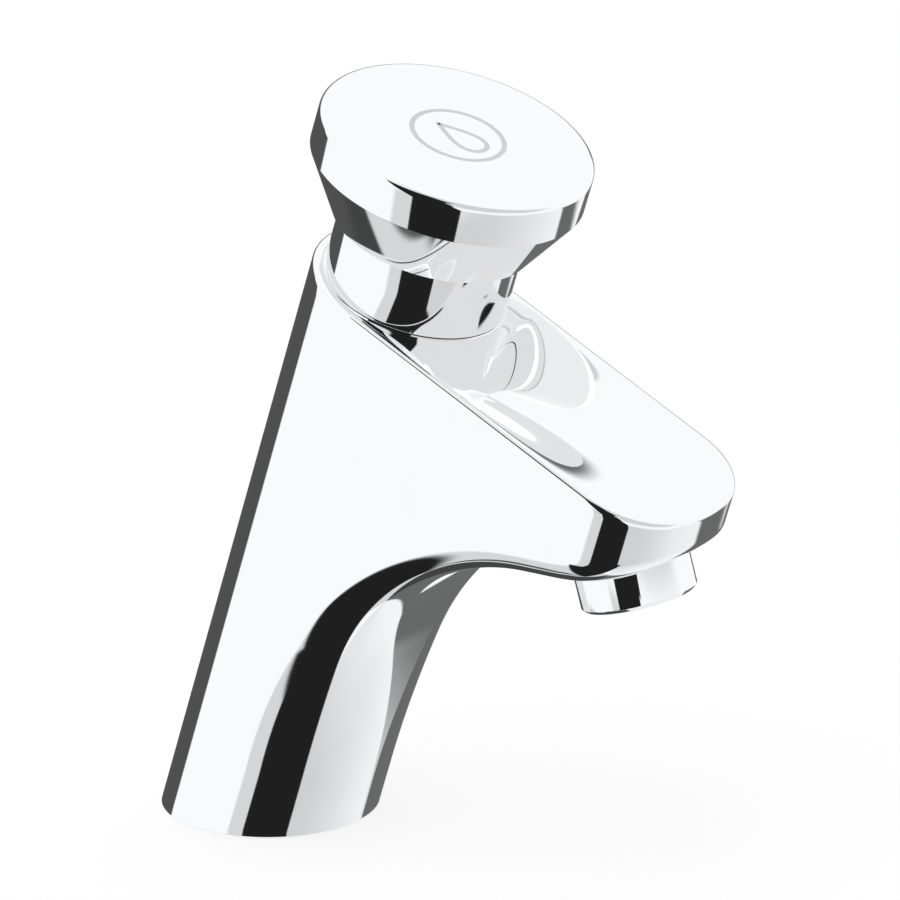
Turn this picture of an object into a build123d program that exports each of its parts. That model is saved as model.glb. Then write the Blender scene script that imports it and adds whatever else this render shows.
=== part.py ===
from build123d import *
import os
from math import acos, asin, cos, degrees, pi, radians, sin, sqrt, tan

# A self-closing basin tap: a leaning round column with a flat-sided spout, a push
# button that slides down over the neck, the timed valve inside and the outlet ring.
# Millimetres. The origin is the middle of the base's underside, Z is up and the
# spout points along -Y. Most pieces are turned about the leaning column axis: their
# heights are measured along it from the origin, and their radii from it.

# Column, neck and spout of the casting
column_diameter = 47.0
column_lean = 19.5
neck_diameter = 41.6
seam_height = 137.0
top_slope = 26.7
spout_reach = 85.3
tip_bow = 3.8
tip_corner_radius = 13.0
underside_height = 76.5
arch_radius = 49.0
front_bulge = 0.6
belly_lead = 9.0
belly_radius = 62.0
foot_height = 20.0
foot_flat = 0.4
waist_corner_radius = 17.0
lower_edge_radius = 6.0
rim_edge_radius = 1.3
neck_break_turn = 50.0
column_steps = 6
arch_steps = 5

# The scooped top between the two rims
scoop_start = 0.5
scoop_start_depth = 2.5
scoop_deepest = 62.0
scoop_depth = 12.6
scoop_tip_gap = 7.5
scoop_end_depth = 0.12
scoop_rim = 1.35
top_margin = 3.0

# Push button
button_diameter = 62.0
button_top = 176.7
band_height = 9.3
disc_thickness = 3.0
button_edge_radius = 1.4
band_wall = 1.6
lip_height = 152.8
lip_wall = 1.3

# Neck sleeve with its floor and threaded skirt
sleeve_top = 158.0
sleeve_wall = 2.5
skirt_diameter = 33.8
skirt_length = 24.5
cylinder_diameter = 26.0
floor_top = 145.0
floor_thickness = 11.0
bush_bore_diameter = 16.0
seal_shelf = 3.0
seal_shelf_width = 1.0

# Chambers and passages in the casting
chamber_diameter = 28.0
chamber_bottom = 72.0
passage_diameter = 10.0
outlet_passage_diameter = 9.0
outlet_passage_height = 86.5

# Stem, its guide and the piston
stem_diameter = 8.0
stem_seal_height = 3.0
stem_seal_slot = 1.2
bush_flange_diameter = 31.0
bush_flange = 2.0
rod_diameter = 6.0
piston_height = 7.5
piston_diameter = 25.2
piston_seal_height = 3.0
piston_seal_depth = 2.6
piston_seal_slot = 0.8
clip_thickness = 1.0
clip_width = 2.6
clip_opening = 3.6
clip_groove_depth = 0.6
orifice_offset = 8.6
orifice_diameter = 1.6
metering_pin_length = 12.0
metering_pin_hold = 2.0

# Button hub and its screw
hub_thickness = 4.0
hub_boss_diameter = 16.0
hub_boss_length = 9.7
hub_web = 1.7
screw_diameter = 5.0
screw_length = 12.0
screw_head_diameter = 8.5
screw_head_height = 3.0
screw_socket_width = 4.0
screw_socket_depth = 1.8

# Valve cartridge and the valve below its seat
cartridge_flange = 2.5
cartridge_wall = 3.1
cartridge_bottom = 80.0
seat_height = 91.5
seat_thickness = 3.0
seat_bore_diameter = 13.0
window_bottom = 96.0
window_height = 6.0
window_width = 8.0
window_count = 4
lower_seal_height = 87.0
upper_seal_height = 106.0
neck_seal_height = 135.5
seal_section = 2.0
valve_washer_diameter = 16.0
valve_washer_thickness = 3.0
collar_diameter = 10.0
collar_thickness = 1.5
cup_base = 2.0
cup_wall = 1.0
cup_rim = 1.5
valve_nut_height = 4.0
valve_nut_width = 8.0
rod_end = 1.0

# Return spring
spring_wire = 1.8
spring_diameter = 26.0
spring_turns = 5
spring_closed_pitch = 2.4

# Base: inlet port, fixing stud hole and seal groove
inlet_diameter = 15.2
inlet_depth = 14.0
inlet_forward = 9.5
strainer_bore_diameter = 13.0
strainer_height = 3.0
strainer_plate = 0.8
strainer_rim = 0.9
strainer_hole_diameter = 1.2
strainer_hole_spacing = 2.1
regulator_height = 4.0
regulator_hole_diameter = 4.0
regulator_chamfer = 1.0
stud_diameter = 6.8
stud_depth = 14.0
stud_back = 12.0
base_seal_diameter = 40.5
base_seal_width = 2.5
base_seal_height = 2.0

# Outlet ring under the tip and what it holds
outlet_diameter = 26.1
outlet_tilt = 14.5
outlet_setback = 18.54
outlet_bottom = 67.6
outlet_ring_height = 8.7
outlet_ring_chamfer = 0.8
outlet_mouth_diameter = 19.0
outlet_mouth_lip = 2.0
outlet_bore_diameter = 20.8
outlet_thread_diameter = 22.0
outlet_thread_length = 4.6
outlet_boss_depth = 6.0
outlet_boss_inset = 0.45
insert_plate = 2.0
insert_wall = 1.4
insert_hole_diameter = 2.6
insert_hole_spacing = 3.6
screen_thickness = 0.5
screen_dome_diameter = 16.8
screen_dome_rise = 2.2
outlet_washer_thickness = 1.4
outlet_washer_width = 2.3
outlet_pocket_diameter = 16.0
outlet_pocket_height = 5.0

# Clearances
thread_gap = 0.1
running_gap = 0.1
seal_gap = 0.05
side_gap = 0.25
sliding_gap = 0.35
overshoot = 1.0

# Sizes that follow from those above
column_radius = column_diameter / 2
neck_radius = neck_diameter / 2
lean = radians(column_lean)
slope = radians(top_slope)
column_start = -column_radius * (tan(lean) + sin(lean))
room = 4 * button_top
neck_bore_radius = skirt_diameter / 2 + thread_gap
skirt_bottom = seam_height - skirt_length
step_height = skirt_bottom - cartridge_flange
chamber_radius = chamber_diameter / 2
floor_bottom = floor_top - floor_thickness
stem_seal_bottom = floor_bottom + seal_shelf
stem_seal_top = stem_seal_bottom + stem_seal_height
metering_pin_radius = orifice_diameter / 2 - side_gap
piston_top = floor_bottom - sliding_gap
piston_bottom = piston_top - piston_height
washer_top = seat_height - side_gap
washer_bottom = washer_top - valve_washer_thickness
cup_bottom = washer_bottom - cup_base
nut_bottom = cup_bottom - valve_nut_height
hub_top = button_top - disc_thickness
hub_bottom = hub_top - hub_thickness
strainer_top = inlet_depth + strainer_height
port_top = strainer_top + regulator_height
outlet_neck_top = outlet_ring_height + outlet_thread_length
outlet_socket_top = outlet_neck_top + outlet_washer_thickness
outlet_top = outlet_socket_top + outlet_pocket_height
axis_y = -seam_height * sin(lean)
axis_z = seam_height * cos(lean)
rim_at_origin = axis_z - axis_y * tan(slope)
tip_forward = (spout_reach + rim_at_origin * sin(lean)) / (cos(lean) + sin(lean) * tan(slope))
outlet_forward = tip_forward - outlet_setback
belly_start = outlet_forward - belly_lead
lean_plane = Plane(origin=(0, 0, 0), x_dir=(1, 0, 0), z_dir=(0, -sin(lean), cos(lean)))
outlet_lean = radians(outlet_tilt)
outlet_plane = Plane(
    origin=(0, -outlet_forward, outlet_bottom),
    x_dir=(1, 0, 0),
    z_dir=(0, sin(outlet_lean), cos(outlet_lean)),
)


def turned(outline):
    """A closed outline of (radius, height) points, turned about the vertical."""
    points = [(radius, 0, height) for radius, height in outline]
    face = make_face(Polyline(*points, close=True))
    return revolve(face, axis=Axis.Z, revolution_arc=360)


def ring(inner, outer, bottom, top):
    """A plain ring between two radii and two heights."""
    return turned([(inner, bottom), (outer, bottom), (outer, top), (inner, top)])


def rod(radius, bottom, top):
    """A plain round bar between two heights."""
    return Pos(0, 0, bottom) * Cylinder(
        radius, top - bottom, align=(Align.CENTER, Align.CENTER, Align.MIN)
    )


def hexagon(width, bottom, top):
    """A hexagonal bar of a width across flats."""
    outline = RegularPolygon(radius=width / 2, side_count=6, major_radius=False)
    return Pos(0, 0, bottom) * extrude(outline, amount=top - bottom)


def round_seal(outer, height):
    """A round sealing ring that nearly fills a bore of a given radius."""
    section = seal_section / 2
    return Pos(0, 0, height) * Torus(outer - seal_gap - section, section)


def seal_groove(outer, height):
    """The groove that holds such a ring in the piece inside the bore."""
    floor = outer - 2 * seal_gap - seal_section
    width = seal_section / 2 + running_gap
    return ring(floor, outer + overshoot, height - width, height + width)


def side_point(across, along):
    """The (y, z) of a point given across the column axis, to the back, and along it."""
    return (across * cos(lean) - along * sin(lean), across * sin(lean) + along * cos(lean))


def rim_height(forward):
    """The height of the sloping top at a distance forward of the origin."""
    return rim_at_origin - forward * tan(slope)


def beyond(plane):
    """Everything on the far side of a plane."""
    return plane * Box(room, room, room, align=(Align.CENTER, Align.CENTER, Align.MIN))


below_deck = Plane(origin=(0, 0, 0), x_dir=(1, 0, 0), z_dir=(0, 0, -1))
sloping_top = Plane(
    origin=(0, 0, rim_at_origin), x_dir=(1, 0, 0), z_dir=(0, -sin(slope), cos(slope))
)


# The casting: column, arch, spout, neck, chambers and passages

front = column_radius + front_bulge
arch_across = -(front + arch_radius)
arch_along = (underside_height - arch_radius - arch_across * sin(lean)) / cos(lean)
arch_y, arch_z = side_point(arch_across, arch_along)
arch_turn = radians(90 - column_lean)
neck_break = radians(neck_break_turn)


def front_section(turn, along, reach, corner, inner):
    """A cross-section in a plane turned from square to the column axis, through a
    point of that axis: flat behind, with straight flanks and two rounded front corners."""
    half = column_radius
    shoulder = -(reach - corner)
    middle = half - corner
    outline = [
        Line((half, inner), (-half, inner)),
        Line((-half, inner), (-half, shoulder)),
        CenterArc((-middle, shoulder), corner, 180, 90),
        Line((-middle, -reach), (middle, -reach)),
        CenterArc((middle, shoulder), corner, 270, 90),
        Line((half, shoulder), (half, inner)),
    ]
    tilt = lean + turn
    plane = Plane(
        origin=(0, *side_point(0, along)), x_dir=(1, 0, 0), z_dir=(0, -sin(tilt), cos(tilt))
    )
    return plane * make_face(outline)


def column_front():
    """The column's front half: round at the foot, and flatter upward."""
    foot_corner = column_radius - foot_flat
    sections = []
    for step in range(column_steps + 1):
        along = column_start + (arch_along - column_start) * step / column_steps
        rise = max(0.0, (along - foot_height) / (arch_along - foot_height))
        corner = foot_corner - (foot_corner - waist_corner_radius) * rise**2
        sections.append(front_section(0, along, front, corner, 0))
    return loft(sections) - beyond(below_deck)


def column_back():
    """The column's back half, a half cylinder from the base to above the neck."""
    length = seam_height + column_radius - column_start
    half_round = Cylinder(
        column_radius, length, arc_size=180, align=(Align.CENTER, Align.NONE, Align.MIN)
    )
    return lean_plane.location * (Pos(0, 0, column_start) * half_round) - beyond(below_deck)


def arch_section(turn, to_axis):
    """A section of the bend, through the centre of its arc. The corners tighten with
    the turn. It reaches back to the column axis, or to just above the sloping top."""
    share = turn / arch_turn
    corner = lower_edge_radius + (waist_corner_radius - lower_edge_radius) * (1 - share) ** 2
    axis_distance = -arch_across / cos(turn)
    inner = 0
    if not to_axis:
        steepness = sin(lean + turn) - tan(slope) * cos(lean + turn)
        inner = (rim_height(-arch_y) + top_margin - arch_z) / steepness - axis_distance
    along = arch_along - arch_across * tan(turn)
    return front_section(turn, along, axis_distance - arch_radius, corner, inner)


def arch():
    """The bend from the column to the spout: one loft up to the neck, one beyond it."""
    lower = []
    upper = []
    for step in range(arch_steps + 1):
        share = step / arch_steps
        lower.append(arch_section(neck_break * share, True))
        upper.append(arch_section(neck_break + (arch_turn - neck_break) * share, False))
    return loft(lower) + loft(upper)


def spout_plan():
    """The spout seen along the column axis: straight flanks, a bowed front, round corners."""
    half = column_radius
    corner_reach = spout_reach - tip_bow
    back = column_radius
    bow = ThreePointArc((-half, -corner_reach), (0, -spout_reach), (half, -corner_reach))
    sides = Polyline((half, -corner_reach), (half, back), (-half, back), (-half, -corner_reach))
    plan = make_face([bow, sides])
    corners = plan.vertices().sort_by(Axis.Y)[:2]
    return fillet(corners, tip_corner_radius)


def spout():
    """The spout forward of the arch, with its belly and rounded lower edges."""
    far = tip_forward + lower_edge_radius
    tall = rim_height(-arch_y) + column_diameter
    belly_angle = degrees(asin((far - belly_start) / belly_radius))
    belly = CenterArc(
        (-belly_start, underside_height + belly_radius), belly_radius, 270 - belly_angle, belly_angle
    )
    far_point = belly @ 0
    under = Line((-belly_start, underside_height), (arch_y, underside_height))
    rest = Polyline(
        (arch_y, underside_height), (arch_y, tall), (far_point.X, tall), (far_point.X, far_point.Y)
    )
    profile = make_face([belly, under, rest])
    flank = Plane(origin=(-column_radius, 0, 0), x_dir=(0, 1, 0), z_dir=(1, 0, 0))
    block = extrude(flank * profile, amount=column_diameter)
    block = block & (lean_plane.location * extrude(spout_plan(), amount=2 * button_top))
    lower = []
    for face in block.faces():
        low = face.center().Z < underside_height + tip_corner_radius
        if low and face.normal_at(face.center()).Z < -0.5:
            for edge in face.edges():
                middle = edge @ 0.5
                across_middle = abs(middle.X) < column_radius / 2 and middle.Y > -outlet_forward
                if not across_middle:
                    lower.append(edge)
    return fillet(lower, lower_edge_radius)


def scoop():
    """The hollow top: arcs between the rims, deep at the neck and flat at the tip."""
    chord = column_radius - scoop_rim
    cover = scoop_depth
    sections = []
    for forward, half, depth in (
        (scoop_start - axis_y, neck_radius + side_gap, scoop_start_depth),
        (scoop_deepest, chord, scoop_depth),
        (tip_forward - scoop_tip_gap, chord, scoop_end_depth),
    ):
        plane = Plane(
            origin=(0, -forward, rim_height(forward)),
            x_dir=(1, 0, 0),
            z_dir=(0, -cos(slope), -sin(slope)),
        )
        arc = ThreePointArc((-half, 0), (0, -depth), (half, 0))
        lid = Polyline((half, 0), (half, cover), (-half, cover), (-half, 0))
        sections.append(plane * make_face([arc, lid]))
    return loft(sections, ruled=True)


def on_sloping_top(edge):
    """True for an edge that lies in the sloping top."""
    points = (edge @ 0, edge @ 0.3, edge @ 0.5)
    return all(abs(point.Z - rim_height(-point.Y)) < 0.01 for point in points)


def casting_outside():
    """The outer form with its rounded rim, the scoop, the neck and the outlet boss."""
    top = beyond(sloping_top)
    body = column_front() + (column_back() - top) + (arch() - top) + (spout() - top)
    body = fillet(body.edges().filter_by(on_sloping_top), rim_edge_radius)
    body -= scoop()
    body += lean_plane.location * rod(neck_radius, step_height, seam_height)
    body -= lean_plane.location * rod(neck_radius + side_gap, seam_height, button_top)
    outlet_radius = outlet_diameter / 2
    body -= outlet_plane.location * rod(outlet_radius + side_gap, 0, outlet_ring_height)
    body += outlet_plane.location * rod(
        outlet_radius - outlet_boss_inset, outlet_ring_height, outlet_ring_height + outlet_boss_depth
    )
    return body


def casting_hollows():
    """The bores from the neck down, the passages and the holes in the base."""
    shaft = rod(neck_bore_radius, step_height, seam_height + overshoot)
    shaft += rod(chamber_radius, chamber_bottom, step_height + overshoot)
    passage_radius = passage_diameter / 2
    passage_start = (port_top - passage_radius * sin(lean)) / cos(lean)
    shaft += rod(passage_radius, passage_start, chamber_bottom + overshoot)
    hollows = [lean_plane.location * shaft]
    port = rod(inlet_diameter / 2, -overshoot, inlet_depth)
    port += rod(strainer_bore_diameter / 2, inlet_depth - overshoot, port_top)
    hollows.append(Pos(0, -inlet_forward, 0) * port)
    hollows.append(Pos(0, stud_back, 0) * rod(stud_diameter / 2, -overshoot, stud_depth))
    inner = base_seal_diameter / 2 - base_seal_width / 2 - running_gap
    outer = base_seal_diameter / 2 + base_seal_width / 2 + running_gap
    hollows.append(ring(inner, outer, -overshoot, base_seal_height))
    socket_radius = outlet_thread_diameter / 2 + thread_gap
    socket = rod(socket_radius, outlet_ring_height - overshoot, outlet_socket_top)
    socket += rod(outlet_pocket_diameter / 2, outlet_socket_top - overshoot, outlet_top)
    hollows.append(outlet_plane.location * socket)
    start = outlet_passage_height * tan(lean)
    rise = (outlet_passage_height - outlet_bottom) * tan(outlet_lean)
    along = Plane(origin=(0, -start, outlet_passage_height), x_dir=(1, 0, 0), z_dir=(0, -1, 0))
    hollows.append(along * rod(outlet_passage_diameter / 2, 0, outlet_forward - rise - start))
    return hollows


def body_casting():
    """The brass casting in one piece."""
    body = casting_outside()
    for hollow in casting_hollows():
        body -= hollow
    return body


# Neck sleeve, its pin and seal, and the guide of the stem


def neck_sleeve():
    """The fixed sleeve that the button slides over, with the timing cylinder below."""
    inner = neck_radius - sleeve_wall
    bush_bore = bush_bore_diameter / 2
    shelf = bush_bore - seal_shelf_width
    outline = [
        (neck_radius, seam_height),
        (neck_radius, sleeve_top),
        (inner, sleeve_top),
        (inner, floor_top),
        (bush_bore, floor_top),
        (bush_bore, stem_seal_bottom),
        (shelf, stem_seal_bottom),
        (shelf, floor_bottom),
        (cylinder_diameter / 2, floor_bottom),
        (cylinder_diameter / 2, skirt_bottom),
        (skirt_diameter / 2, skirt_bottom),
        (skirt_diameter / 2, seam_height),
    ]
    sleeve = turned(outline) - seal_groove(neck_bore_radius, neck_seal_height)
    hold_top = floor_bottom + metering_pin_hold
    pin_hole = rod(metering_pin_radius + seal_gap, floor_bottom - overshoot, hold_top)
    return sleeve - Pos(orifice_offset, 0, 0) * pin_hole


def metering_pin():
    """The pin that keeps the piston's orifice clear."""
    top = floor_bottom + metering_pin_hold
    return Pos(orifice_offset, 0, 0) * rod(metering_pin_radius, top - metering_pin_length, top)


def stem_seal():
    """The lip seal below the guide bush."""
    inner = stem_diameter / 2 + running_gap
    outer = bush_bore_diameter / 2 - running_gap
    middle = (inner + outer) / 2
    slot = stem_seal_slot / 2
    web = stem_seal_bottom + stem_seal_height / 2
    outline = [
        (inner, stem_seal_bottom),
        (middle - slot, stem_seal_bottom),
        (middle - slot, web),
        (middle + slot, web),
        (middle + slot, stem_seal_bottom),
        (outer, stem_seal_bottom),
        (outer, stem_seal_top),
        (inner, stem_seal_top),
    ]
    return turned(outline)


def guide_bush():
    """The flanged bush that guides the stem and seats the spring."""
    bore = stem_diameter / 2 + running_gap
    barrel = bush_bore_diameter / 2 - running_gap
    flange = bush_flange_diameter / 2
    outline = [
        (bore, stem_seal_top),
        (barrel, stem_seal_top),
        (barrel, floor_top),
        (flange, floor_top),
        (flange, floor_top + bush_flange),
        (bore, floor_top + bush_flange),
    ]
    return turned(outline)


# Valve cartridge with its seat and windows


def cartridge_body():
    """The flanged insert with the valve seat, side windows and two seal grooves."""
    outer = chamber_radius - side_gap
    inner = outer - cartridge_wall
    flange = neck_bore_radius - side_gap
    outline = [
        (inner, skirt_bottom),
        (flange, skirt_bottom),
        (flange, step_height),
        (outer, step_height),
        (outer, cartridge_bottom),
        (inner, cartridge_bottom),
        (inner, seat_height),
        (seat_bore_diameter / 2, seat_height),
        (seat_bore_diameter / 2, seat_height + seat_thickness),
        (inner, seat_height + seat_thickness),
    ]
    body = turned(outline)
    body -= seal_groove(chamber_radius, lower_seal_height)
    body -= seal_groove(chamber_radius, upper_seal_height)
    middle = window_bottom + window_height / 2
    window = Pos((inner + outer) / 2, 0, middle) * Box(2 * cartridge_wall, window_width, window_height)
    for count in range(window_count):
        body -= Rot(0, 0, 360 * count / window_count) * window
    return body


# Stem, piston and valve, which move with the button


def push_stem():
    """The stepped stem from the button's hub down to the valve."""
    rod_radius = rod_diameter / 2
    thread = screw_diameter / 2
    top = hub_bottom - hub_web
    groove = rod_radius - clip_groove_depth
    tip = nut_bottom - rod_end
    outline = [
        (0, tip),
        (thread, tip),
        (thread, washer_top),
        (collar_diameter / 2, washer_top),
        (collar_diameter / 2, washer_top + collar_thickness),
        (rod_radius, washer_top + collar_thickness),
        (rod_radius, piston_bottom - clip_thickness),
        (groove, piston_bottom - clip_thickness),
        (groove, piston_bottom),
        (rod_radius, piston_bottom),
        (rod_radius, piston_top),
        (stem_diameter / 2, piston_top),
        (stem_diameter / 2, top),
        (0, top),
    ]
    screw_end = hub_top - screw_head_height - screw_length
    return turned(outline) - rod(thread + thread_gap, screw_end, top + overshoot)


def piston():
    """The timing piston with its seal groove and metering orifice."""
    outer = piston_diameter / 2
    bore = rod_diameter / 2 + running_gap
    middle = (piston_top + piston_bottom) / 2
    half = piston_seal_height / 2 + running_gap
    floor = cylinder_diameter / 2 - piston_seal_depth - 2 * seal_gap
    outline = [
        (bore, piston_bottom),
        (outer, piston_bottom),
        (outer, middle - half),
        (floor, middle - half),
        (floor, middle + half),
        (outer, middle + half),
        (outer, piston_top),
        (bore, piston_top),
    ]
    orifice = rod(orifice_diameter / 2, piston_bottom - overshoot, piston_top + overshoot)
    return turned(outline) - Pos(orifice_offset, 0, 0) * orifice


def piston_seal():
    """The cup seal that lets water past one way only."""
    middle = (piston_top + piston_bottom) / 2
    half = piston_seal_height / 2
    outer = cylinder_diameter / 2 - seal_gap
    inner = outer - piston_seal_depth
    web = (outer + inner) / 2
    slot = piston_seal_slot / 2
    outline = [
        (inner, middle - half),
        (outer, middle - half),
        (outer, middle + half),
        (web + slot, middle + half),
        (web + slot, middle),
        (web - slot, middle),
        (web - slot, middle + half),
        (inner, middle + half),
    ]
    return turned(outline)


def piston_clip():
    """The open clip under the piston."""
    inner = rod_diameter / 2 - clip_groove_depth + running_gap
    bottom = piston_bottom - clip_thickness
    clip = ring(inner, inner + clip_width, bottom, piston_bottom)
    opening = Box(clip_opening, 2 * clip_width + inner, 2 * clip_thickness)
    return clip - Pos(0, -inner - clip_width, bottom + clip_thickness / 2) * opening


def valve_washer():
    """The rubber washer that closes on the seat from below."""
    bore = screw_diameter / 2 + running_gap
    return ring(bore, valve_washer_diameter / 2, washer_bottom, washer_top)


def washer_cup():
    """The cup that carries the washer."""
    bore = screw_diameter / 2 + running_gap
    inner = valve_washer_diameter / 2 + running_gap
    outer = inner + cup_wall
    outline = [
        (bore, cup_bottom),
        (outer, cup_bottom),
        (outer, washer_bottom + cup_rim),
        (inner, washer_bottom + cup_rim),
        (inner, washer_bottom),
        (bore, washer_bottom),
    ]
    return turned(outline)


def valve_nut():
    """The nut that holds the cup and washer on the stem."""
    hole = rod(screw_diameter / 2 + thread_gap, nut_bottom - overshoot, cup_bottom + overshoot)
    return hexagon(valve_nut_width, nut_bottom, cup_bottom) - hole


# Push button


def push_button():
    """The shell of the button: top disc, band, cone and the lip round the sleeve."""
    outer = button_diameter / 2
    edge = button_edge_radius
    band_bottom = button_top - band_height
    lip_inner = neck_radius + sliding_gap
    lip_outer = lip_inner + lip_wall
    inner = outer - band_wall
    cone_run = outer - lip_outer
    cone_rise = band_bottom - lip_height
    across = band_wall * sqrt(cone_run**2 + cone_rise**2) / cone_rise
    lip_top = lip_height + (lip_inner + across - lip_outer) * cone_rise / cone_run
    cone_top = lip_height + (inner + across - lip_outer) * cone_rise / cone_run
    rounded = ThreePointArc(
        (outer, 0, button_top - edge),
        (outer - edge + edge * cos(pi / 4), 0, button_top - edge + edge * sin(pi / 4)),
        (outer - edge, 0, button_top),
    )
    inside = Polyline(
        (outer - edge, 0, button_top),
        (0, 0, button_top),
        (0, 0, hub_top),
        (inner, 0, hub_top),
        (inner, 0, cone_top),
        (lip_inner, 0, lip_top),
        (lip_inner, 0, lip_height),
        (lip_outer, 0, lip_height),
        (outer, 0, band_bottom),
        (outer, 0, button_top - edge),
    )
    return revolve(make_face([rounded, inside]), axis=Axis.Z, revolution_arc=360)


def button_hub():
    """The disc inside the button, with the boss that takes the stem."""
    outer = button_diameter / 2 - band_wall - running_gap
    bore = stem_diameter / 2 + running_gap
    boss = hub_boss_diameter / 2
    web_bottom = hub_bottom - hub_web
    head = screw_head_diameter / 2 + side_gap
    shank = screw_diameter / 2 + side_gap
    outline = [
        (bore, hub_bottom - hub_boss_length),
        (boss, hub_bottom - hub_boss_length),
        (boss, hub_bottom),
        (outer, hub_bottom),
        (outer, hub_top),
        (head, hub_top),
        (head, hub_top - screw_head_height),
        (shank, hub_top - screw_head_height),
        (shank, web_bottom),
        (bore, web_bottom),
    ]
    return turned(outline)


def hub_screw():
    """The socket screw that holds the hub on the stem."""
    under_head = hub_top - screw_head_height
    screw = rod(screw_head_diameter / 2, under_head, hub_top)
    screw += rod(screw_diameter / 2, under_head - screw_length, under_head)
    return screw - hexagon(screw_socket_width, hub_top - screw_socket_depth, hub_top + overshoot)


# Return spring


def spring_height(turns, bottom, top):
    """The wire's height after some turns: closed at both ends, open between them."""
    open_pitch = (top - bottom - 2 * spring_closed_pitch) / (spring_turns - 2)
    if turns < 1:
        return bottom + spring_closed_pitch * turns
    if turns > spring_turns - 1:
        return top - spring_closed_pitch * (spring_turns - turns)
    return bottom + spring_closed_pitch + open_pitch * (turns - 1)


def spring_direction(turns, bottom, top):
    """The unit vector along the wire after some turns."""
    step = 0.02
    radius = spring_diameter / 2
    rise = spring_height(turns + step, bottom, top) - spring_height(turns - step, bottom, top)
    angle = 2 * pi * turns
    along = Vector(-radius * sin(angle), radius * cos(angle), rise / (4 * pi * step))
    return along.normalized()


def return_spring():
    """A coil spring, swept along a pair of tangent arcs for each quarter turn."""
    radius = spring_diameter / 2
    bottom = floor_top + bush_flange + spring_wire / 2
    top = hub_bottom - spring_wire / 2
    points = []
    ways = []
    for quarter in range(4 * spring_turns + 1):
        turns = quarter / 4
        angle = 2 * pi * turns
        points.append(Vector(radius * cos(angle), radius * sin(angle), spring_height(turns, bottom, top)))
        ways.append(spring_direction(turns, bottom, top))
    edges = []
    for start, end, start_way, end_way in zip(points, points[1:], ways, ways[1:]):
        span = end - start
        both = start_way + end_way
        spread = 2 * (1 - start_way.dot(end_way))
        reach = (sqrt(span.dot(both) ** 2 + spread * span.dot(span)) - span.dot(both)) / spread
        joint_start = start + start_way * reach
        joint_end = end - end_way * reach
        joint = (joint_start + joint_end) / 2
        edges.append(TangentArc(start, joint, tangent=start_way))
        edges.append(TangentArc(joint, end, tangent=joint_end - joint_start))
    gaps = [above.Z - below.Z for below, above in zip(points, points[4:])]
    print("spring: least gap between turns", round(min(gaps) - spring_wire, 2), "mm")
    path = Wire(edges)
    section = Plane(origin=path @ 0, z_dir=path % 0) * Circle(spring_wire / 2)
    return sweep(section, path=path)


# Base pieces: seal, strainer and flow regulator


def base_seal():
    """The flat ring in the base's groove."""
    middle = base_seal_diameter / 2
    half = base_seal_width / 2
    return ring(middle - half, middle + half, 0, base_seal_height)


def inlet_filter():
    """The strainer disc above the inlet thread."""
    outer = strainer_bore_diameter / 2 - running_gap
    disc = rod(outer, inlet_depth, inlet_depth + strainer_plate)
    disc += ring(outer - strainer_rim, outer, inlet_depth, strainer_top)
    hole = rod(strainer_hole_diameter / 2, inlet_depth - overshoot, strainer_top)
    for circle in (1, 2):
        count = 6 * circle
        for place in range(count):
            spot = Pos(circle * strainer_hole_spacing, 0, 0)
            disc -= Rot(0, 0, 360 * place / count) * spot * hole
    return Pos(0, -inlet_forward, 0) * disc


def flow_regulator():
    """The ring that limits the flow above the strainer."""
    outer = strainer_bore_diameter / 2 - running_gap
    inner = regulator_hole_diameter / 2
    outline = [
        (inner + regulator_chamfer, strainer_top),
        (outer, strainer_top),
        (outer, port_top),
        (inner, port_top),
        (inner, strainer_top + regulator_chamfer),
    ]
    return Pos(0, -inlet_forward, 0) * turned(outline)


# Outlet ring and what it holds


def aerator_housing():
    """The ring screwed into the spout, with its inward lip at the mouth."""
    outer = outlet_diameter / 2
    neck = outlet_thread_diameter / 2
    mouth = outlet_mouth_diameter / 2
    inner = outlet_bore_diameter / 2
    outline = [
        (mouth, 0),
        (outer - outlet_ring_chamfer, 0),
        (outer, outlet_ring_chamfer),
        (outer, outlet_ring_height),
        (neck, outlet_ring_height),
        (neck, outlet_neck_top),
        (inner, outlet_neck_top),
        (inner, outlet_mouth_lip),
        (mouth, outlet_mouth_lip),
    ]
    return turned(outline)


def aerator_insert():
    """The insert with its plate of jets, open above."""
    outer = outlet_bore_diameter / 2 - running_gap
    top = outlet_neck_top - screen_thickness
    bottom = outlet_mouth_lip
    insert = rod(outer, bottom, top)
    insert -= rod(outer - insert_wall, bottom + insert_plate, top + overshoot)
    hole = rod(insert_hole_diameter / 2, bottom - overshoot, bottom + insert_plate + overshoot)
    insert -= hole
    for circle in (1, 2):
        count = 6 * circle
        for place in range(count):
            spot = Pos(circle * insert_hole_spacing, 0, 0)
            insert -= Rot(0, 0, 360 * place / count) * spot * hole
    return insert


def aerator_screen():
    """The domed screen on top of the insert."""
    outer = outlet_bore_diameter / 2 - running_gap
    dome = screen_dome_diameter / 2
    bottom = outlet_neck_top - screen_thickness
    crown = outlet_neck_top + screen_dome_rise
    under = crown - screen_thickness
    radius = (dome**2 + screen_dome_rise**2) / (2 * screen_dome_rise)
    half_angle = acos(1 - screen_dome_rise / radius) / 2
    side = radius * sin(half_angle)
    drop = radius * (1 - cos(half_angle))
    flange = Polyline(
        (dome, 0, outlet_neck_top), (outer, 0, outlet_neck_top), (outer, 0, bottom), (dome, 0, bottom)
    )
    upper = ThreePointArc((0, 0, crown), (side, 0, crown - drop), (dome, 0, outlet_neck_top))
    lower = ThreePointArc((dome, 0, bottom), (side, 0, under - drop), (0, 0, under))
    face = make_face([Line((0, 0, under), (0, 0, crown)), upper, flange, lower])
    return revolve(face, axis=Axis.Z, revolution_arc=360)


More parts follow.
